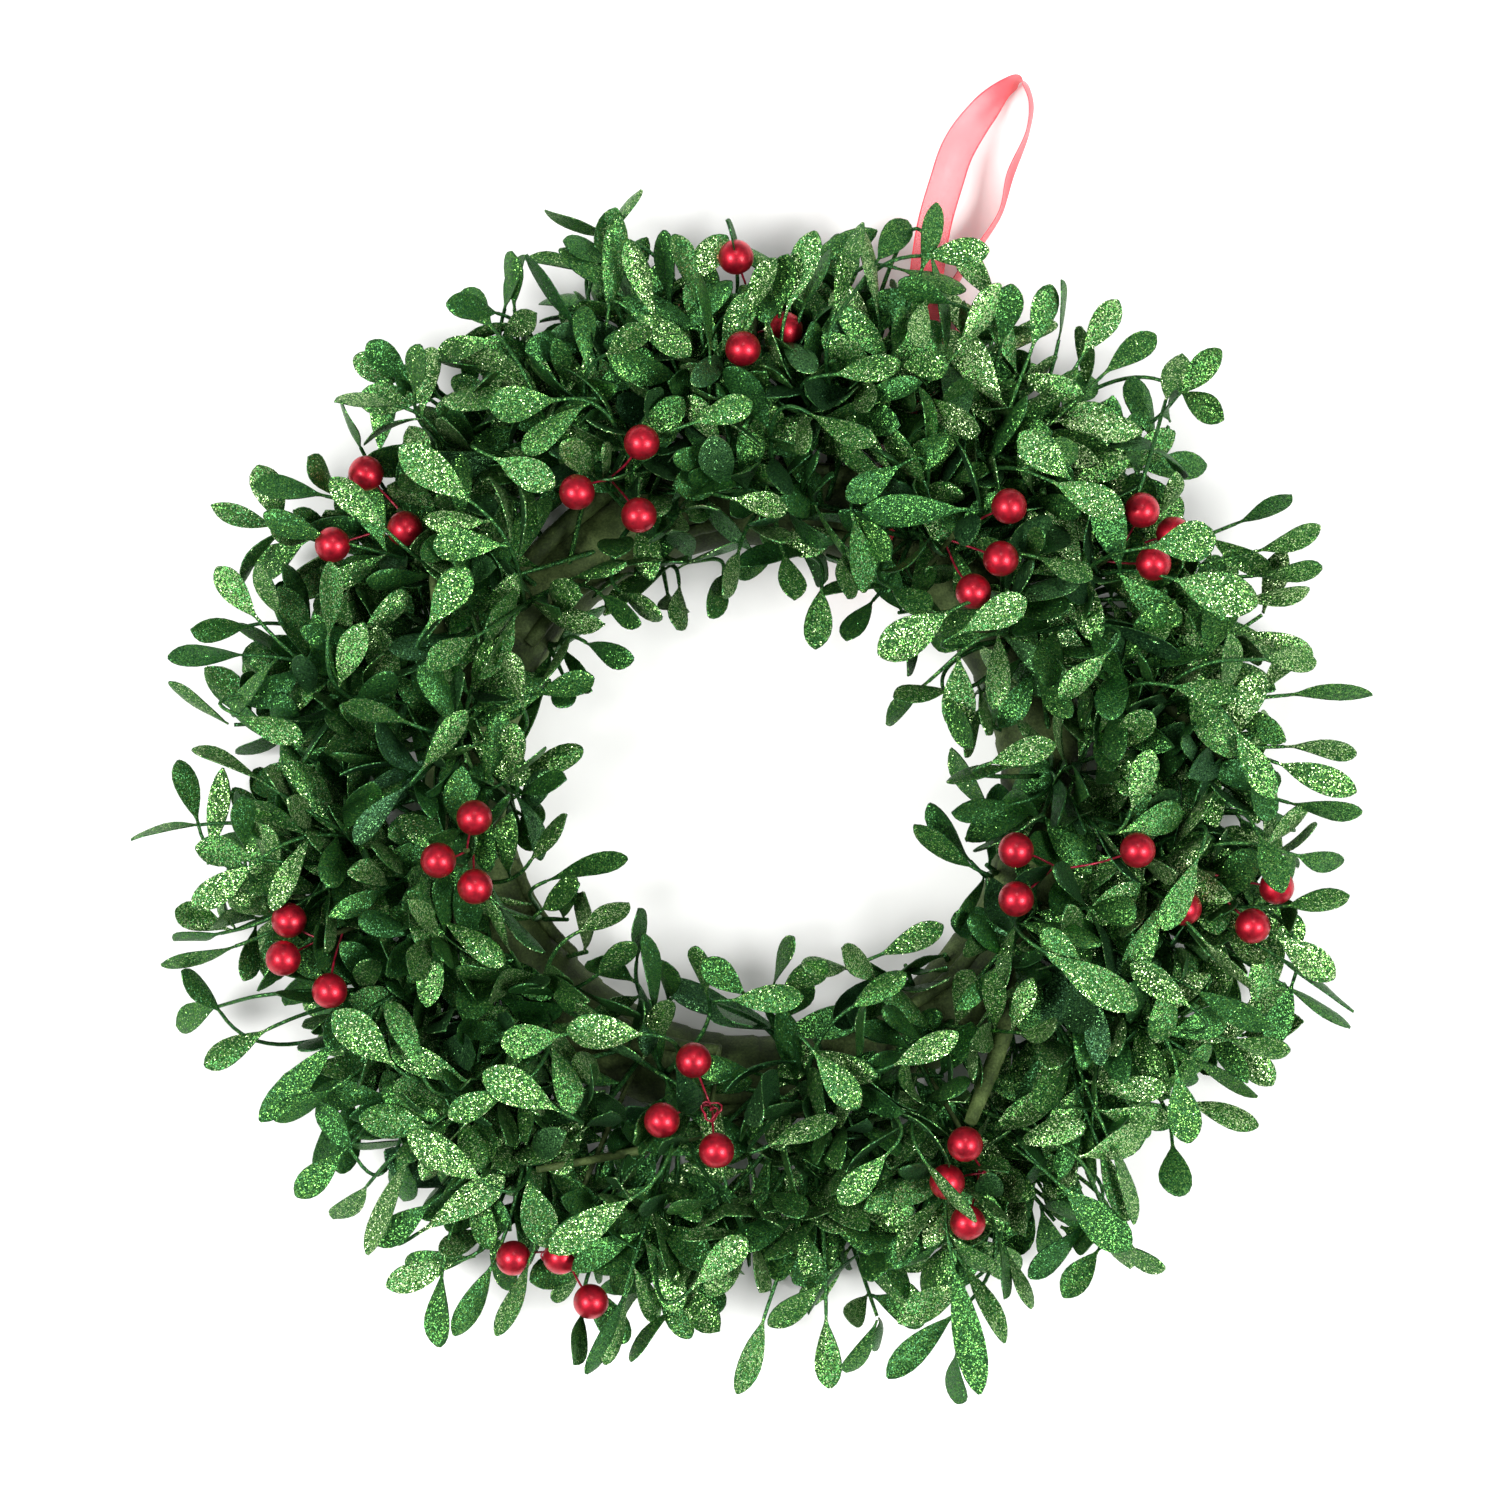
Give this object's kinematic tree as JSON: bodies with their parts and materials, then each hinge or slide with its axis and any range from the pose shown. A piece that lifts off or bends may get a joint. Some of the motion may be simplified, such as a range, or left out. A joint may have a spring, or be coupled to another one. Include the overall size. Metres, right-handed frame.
{
  "type": "artificial boxwood wreath",
  "caption": "Round artificial leafy wreath on a taped ring, with berry picks and a ribbon hanging loop, lying on its back.",
  "frame": {"origin": "middle of the footprint, on the surface that the wreath's back lies on", "axes": "+Z out of the wreath's front, +Y towards its top as it hangs, +X to its right seen from the front"},
  "size_m": [0.3549, 0.3857, 0.0712],
  "materials": {
    "leaf": "moulded, with glitter",
    "tape": "wound crepe floral tape",
    "berry": "pearl lacquer",
    "ribbon": "sheer woven organza"
  },
  "bodies": {
    "root": {"base_ring": "tape", "ribbon_loop": "ribbon", "berry_pick_1": "berry", "berry_pick_2": "berry", "berry_pick_3": "berry", "berry_pick_4": "berry", "berry_pick_5": "berry", "berry_pick_6": "berry", "berry_pick_7": "berry", "berry_pick_8": "berry", "berry_pick_9": "berry", "berry_pick_10": "berry", "berry_pick_11": "berry", "berry_pick_12": "berry", "outer_pick_1": "leaf", "outer_pick_2": "leaf", "outer_pick_3": "leaf", "outer_pick_4": "leaf", "outer_pick_5": "leaf", "outer_pick_6": "leaf", "outer_pick_7": "leaf", "outer_pick_8": "leaf", "outer_pick_9": "leaf", "outer_pick_10": "leaf", "outer_pick_11": "leaf", "outer_pick_12": "leaf", "outer_pick_13": "leaf", "outer_pick_14": "leaf", "outer_pick_15": "leaf", "outer_pick_16": "leaf", "front_pick_1": "leaf", "front_pick_2": "leaf", "front_pick_3": "leaf", "front_pick_4": "leaf", "front_pick_5": "leaf", "front_pick_6": "leaf", "front_pick_7": "leaf", "front_pick_8": "leaf", "front_pick_9": "leaf", "front_pick_10": "leaf", "front_pick_11": "leaf", "front_pick_12": "leaf", "front_pick_13": "leaf", "inner_pick_1": "leaf", "inner_pick_2": "leaf", "inner_pick_3": "leaf", "inner_pick_4": "leaf", "inner_pick_5": "leaf", "inner_pick_6": "leaf", "inner_pick_7": "leaf", "inner_pick_8": "leaf", "inner_pick_9": "leaf", "inner_pick_10": "leaf", "inner_pick_11": "leaf"}
  },
  "joints": []
}
